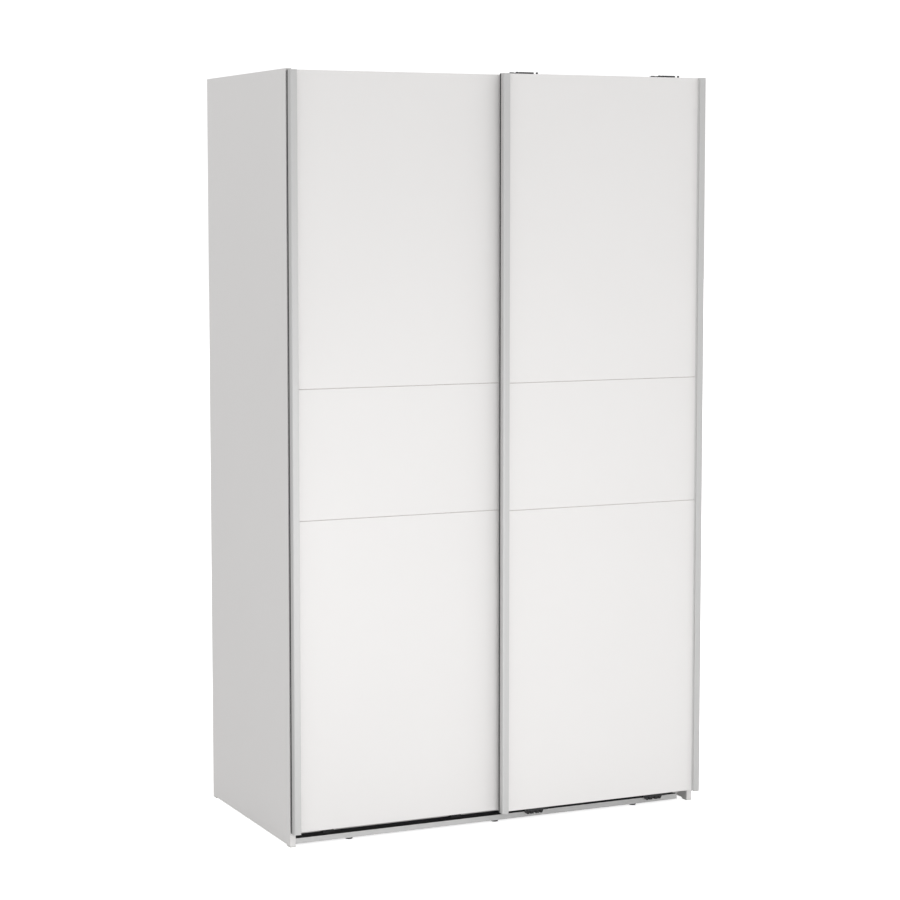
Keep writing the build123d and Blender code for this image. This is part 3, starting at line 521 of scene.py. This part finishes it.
def fill_with_tufts(mesh, low, high, draw):
    """One stretch of tufts with random leans and lengths, copied up the whole strip."""
    stretches = round((high.z - low.z) / (ROWS_PER_STRETCH * ROW_PITCH))
    stretch = (high.z - low.z) / stretches
    across = (high.x - low.x) / TUFTS_ACROSS
    for row in range(ROWS_PER_STRETCH):
        for column in range(TUFTS_ACROSS):
            foot = Vector((low.x + (column + 0.5) * across, low.y,
                           low.z + (row + 0.5) * stretch / ROWS_PER_STRETCH))
            leans = (draw.uniform(-TUFT_LEAN, TUFT_LEAN), draw.uniform(-TUFT_LEAN, TUFT_LEAN))
            add_tuft(mesh, foot, (high.y - low.y) * draw.uniform(TUFT_SHORTEST, 1), leans)
    first = mesh.verts[:] + mesh.edges[:] + mesh.faces[:]
    for step in range(1, stretches):
        copied = bmesh.ops.duplicate(mesh, geom=first)["geom"]
        corners = [part for part in copied if isinstance(part, bmesh.types.BMVert)]
        bmesh.ops.translate(mesh, verts=corners, vec=(0, 0, step * stretch))


print("a tuft is", round(2 * TUFT_BASE * MM_PER_METRE, 2), "mm wide at its foot")

# %% [markdown]
# The backing and the carrier are straight bands. A cube operator makes each between two corners, and
# a small bevel softens it, because nothing woven or extruded has knife edges. The finished strip
# rides on its door and stands for the plain bar.

# %% Dust strips
SEAT_DEPTH = 0.008
CARRIER_WIDTH = 0.0027
PILE_SETBACK = 0.0017
BACKING_SHARE = 0.25
BAND_BEVEL = 0.0002


def add_band(mesh, low, high):
    """A straight band between two corners, with softened edges."""
    place = Matrix.Translation((low + high) / 2) @ Matrix.Diagonal((*(high - low), 1))
    band = bmesh.ops.create_cube(mesh, matrix=place)
    edges = list({edge for corner in band["verts"] for edge in corner.link_edges})
    bmesh.ops.bevel(mesh, geom=edges, offset=BAND_BEVEL, affect="EDGES", segments=1, profile=0.5,
                    material=-1)


def finish_piece(name, mesh, material, body):
    """Turns a bmesh into a piece with its material and the body that it rides on."""
    data = bpy.data.meshes.new(name)
    mesh.to_mesh(data)
    mesh.free()
    piece = bpy.data.objects.new(name, data)
    bpy.context.scene.collection.objects.link(piece)
    dress(piece, material)
    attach(piece, body)
    return piece


for seed, body in enumerate(("rear_door", "front_door")):
    node = f"{body}_dust_strip"
    low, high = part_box(node)
    grip_back = low.y + SEAT_DEPTH
    pile_left = low.x + PILE_SETBACK
    pile_foot = grip_back + BACKING_SHARE * (high.y - grip_back)
    strip = bmesh.new()
    fill_with_tufts(strip, Vector((pile_left, pile_foot, low.z)), high, random.Random(seed))
    add_band(strip, Vector((pile_left, grip_back, low.z)), Vector((high.x, pile_foot, high.z)))
    add_band(strip, low, Vector((low.x + CARRIER_WIDTH, grip_back, high.z)))
    piece = finish_piece(f"{body}_pile", strip, pile, body)
    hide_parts(node)
    print(piece.name, "has", len(piece.data.polygons), "faces")

# %% [markdown]
# The photograph shows the wardrobe alone on pure white. Cutting it out of a render would lose the
# trace of shadow at its foot. A floor that glows for the camera alone, and a sky that is brighter to
# the camera than to the wardrobe, give that white and keep the trace.

# %% Floor and sky
WHITE = (1, 1, 1, 1)
FLOOR_HALF = 40.0
FLOOR_COLOUR = (0.8, 0.8, 0.8, 1)
FLOOR_ROUGHNESS = 0.9
FLOOR_GLOW = 0.85
SKY_LIGHT = 0.82
SKY_SEEN = 1.1


def camera_only(tree, seen, otherwise):
    """A value for rays that come straight from the camera, and another one for all other rays."""
    path = add_node(tree, "ShaderNodeLightPath")
    return between(tree, path.outputs["Is Camera Ray"], otherwise, seen)


def make_floor_material():
    """Pale matt floor, lifted towards white for the camera."""
    material, tree, shader = start_material(
        "studio_floor", roughness=FLOOR_ROUGHNESS, base_color=FLOOR_COLOUR, emission_color=WHITE)
    tree.links.new(camera_only(tree, FLOOR_GLOW, 0.0), shader.inputs["Emission Strength"])
    return material


def make_sky():
    """A plain white world."""
    world = bpy.data.worlds.new("studio_sky")
    world.use_nodes = True
    background = world.node_tree.nodes["Background"]
    background.inputs["Color"].default_value = WHITE
    strength = camera_only(world.node_tree, SKY_SEEN, SKY_LIGHT)
    world.node_tree.links.new(strength, background.inputs["Strength"])
    return world


floor_shape = bmesh.new()
bmesh.ops.create_grid(floor_shape, x_segments=1, y_segments=1, size=FLOOR_HALF)
floor_mesh = bpy.data.meshes.new("studio_floor")
floor_shape.to_mesh(floor_mesh)
floor_shape.free()
floor = bpy.data.objects.new("studio_floor", floor_mesh)
bpy.context.scene.collection.objects.link(floor)
dress(floor, make_floor_material())
floor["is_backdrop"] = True
bpy.context.scene.world = make_sky()
print("floor", 2 * FLOOR_HALF, "metres wide")

# %% [markdown]
# Two area lights are enough. The key is a large panel low in front of the doors and to the right of
# the camera, so the doors are brighter than the left side and brightest in their lower half. The
# floor cuts off the part of it that reaches below. It stands left of the front door's free edge, so
# that edge throws no deep shadow on the rear door, and it is turned to the right to make both doors
# equally bright. The overhead panel lights the floor and the top, as a studio ceiling does. Small
# lamps would throw hard shadows beside the grips.

# %% Lights
def softbox(name, place, target, size, watts):
    """A square area light that faces a target and is not seen by the camera itself."""
    panel = bpy.data.lights.new(name, "AREA")
    panel.shape = "SQUARE"
    panel.size = size
    panel.energy = watts
    lamp = bpy.data.objects.new(name, panel)
    lamp.location = place
    direction = Vector(target) - Vector(place)
    lamp.rotation_euler = direction.to_track_quat("-Z", "Y").to_euler()
    lamp.visible_camera = False
    bpy.context.scene.collection.objects.link(lamp)


softbox("key", place=(-0.3, -2.8, 0.3), target=(0.5, -0.3, 0.4), size=1.4, watts=29)
softbox("overhead", place=(0.5, -1.0, 4.5), target=(0.2, -0.6, 0.0), size=4.0, watts=8)

# %% [markdown]
# The camera stands as high as a person's eyes, left of the middle, and looks slightly down. A long
# lens from far away keeps the uprights nearly parallel, as in the photograph, and a small shift of
# the frame keeps the wardrobe in its middle. The standard view transform shows white as white, while
# the film-like default would grey it.

# %% Camera
SENSOR_WIDTH, LENS = 36, 96.16
FRAME_SHIFT = -0.03
CAMERA_PLACE = (-2.7835, -5.9768, 1.6612)
LEVEL = math.radians(90)
LOOK_DOWN, LOOK_RIGHT = math.radians(5.219), math.radians(24.821)

camera_data = bpy.data.cameras.new("camera")
camera_data.sensor_width = SENSOR_WIDTH
camera_data.lens = LENS
camera_data.shift_y = FRAME_SHIFT
camera = bpy.data.objects.new("camera", camera_data)
camera.location = CAMERA_PLACE
camera.rotation_euler = (LEVEL - LOOK_DOWN, 0, -LOOK_RIGHT)
bpy.context.scene.collection.objects.link(camera)
bpy.context.scene.camera = camera
bpy.context.scene.view_settings.view_transform = "Standard"
print("camera at", [round(value, 2) for value in camera.location])

# %% [markdown]
# Last, the size of the box around the dressed wardrobe is printed.

# %% Size of the dressed wardrobe
low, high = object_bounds()
print("visual box", [round(side, 4) for side in high - low])
